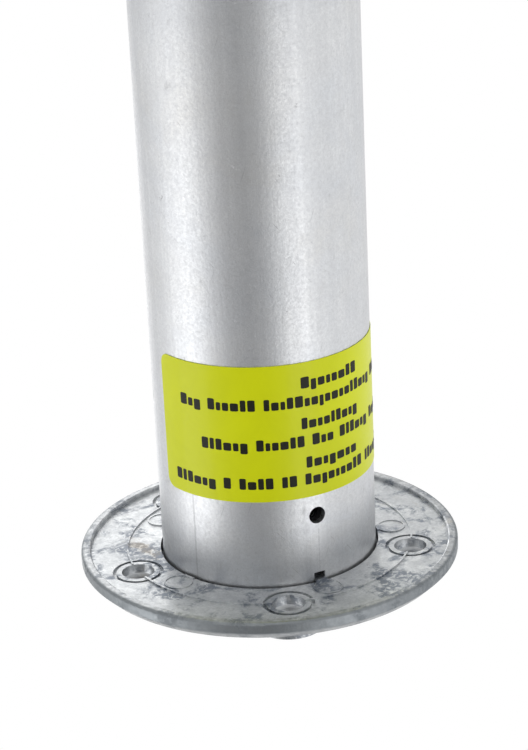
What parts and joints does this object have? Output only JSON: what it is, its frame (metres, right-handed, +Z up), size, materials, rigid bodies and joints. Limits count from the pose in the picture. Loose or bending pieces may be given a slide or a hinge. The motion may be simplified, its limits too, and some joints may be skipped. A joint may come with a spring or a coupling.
{
  "type": "retractable bollard",
  "caption": "In-ground retractable bollard: a casing tube hangs from a bolted ground ring, and a spring-assisted post slides up out of it and latches.",
  "frame": {"origin": "centre of the ground ring's seat, at ground level, on the post's axis", "axes": "+Z up along the post; the pin hole and the label face -Y, the latch windows +Y"},
  "size_m": [0.106, 0.106, 0.6335],
  "materials": {
    "cast_metal": "raw die casting",
    "drawn_aluminium": "satin, as drawn",
    "post_metal": "satin anodised",
    "head_metal": "satin",
    "label_film": "gloss film",
    "bush_plastic": "matt",
    "seal_rubber": "matt",
    "buffer_rubber": "matt",
    "rail_metal": "mill",
    "rivet_metal": "mill",
    "plug_metal": "cast",
    "screw_steel": "stainless",
    "rod_chrome": "ground",
    "gas_tube_paint": "satin black",
    "zinc_steel": "zinc plated",
    "brass_key": "machined",
    "reflective_film": "reflective",
    "cover_metal": "brushed"
  },
  "bodies": {
    "ground": {"ground_ring": "cast_metal", "casing_tube": "drawn_aluminium", "label": "label_film", "upper_bush": "bush_plastic", "wiper_seal": "seal_rubber", "upper_buffer": "buffer_rubber", "guide_rail": "rail_metal", "rail_rivets": "rivet_metal", "lower_buffer": "buffer_rubber", "foot_plug": "plug_metal", "foot_screws": "screw_steel", "foot_pin": "screw_steel", "gas_rod": "rod_chrome", "gas_rod_eye": "zinc_steel", "gas_piston": "bush_plastic"},
    "post": {"post_tube": "post_metal", "head_cap": "head_metal", "head_screws": "screw_steel", "guide_screws": "screw_steel", "reflective_bands": "reflective_film", "rod_spacer": "bush_plastic", "guide_cover": "bush_plastic", "lower_guide": "bush_plastic", "guide_bolts": "screw_steel", "gas_tube": "gas_tube_paint", "gas_top_plug": "zinc_steel", "gas_gland": "bush_plastic", "gas_nut": "zinc_steel", "cover_pivot": "screw_steel"},
    "lock": {"lock_spindle": "brass_key", "spindle_circlip": "zinc_steel", "lock_rod": "zinc_steel", "lock_cam": "zinc_steel"},
    "latch": {"latch_bolt": "zinc_steel", "latch_pin": "screw_steel"},
    "cover": {"lock_cover": "cover_metal"}
  },
  "joints": [
    {"name": "post_slide", "type": "slide", "parent": "ground", "child": "post", "axis": [0, 0, 1], "range_m": [0, 0.48]},
    {"name": "lock_turn", "type": "hinge", "parent": "post", "child": "lock", "pos_m": [0, 0.012, 0.0105], "axis": [0, 0, 1], "range_deg": [0, 90]},
    {"name": "latch_slide", "type": "slide", "parent": "post", "child": "latch", "axis": [0, 1, 0], "range_m": [0, 0.004]},
    {"name": "cover_swivel", "type": "hinge", "parent": "post", "child": "cover", "pos_m": [0, -0.004, 0.0115], "axis": [0, 0, 1], "range_deg": [0, 100]}
  ],
  "couplings": [
    {"joint": "latch_slide", "follows": "lock_turn", "m_per_rad": 0.0025465}
  ]
}
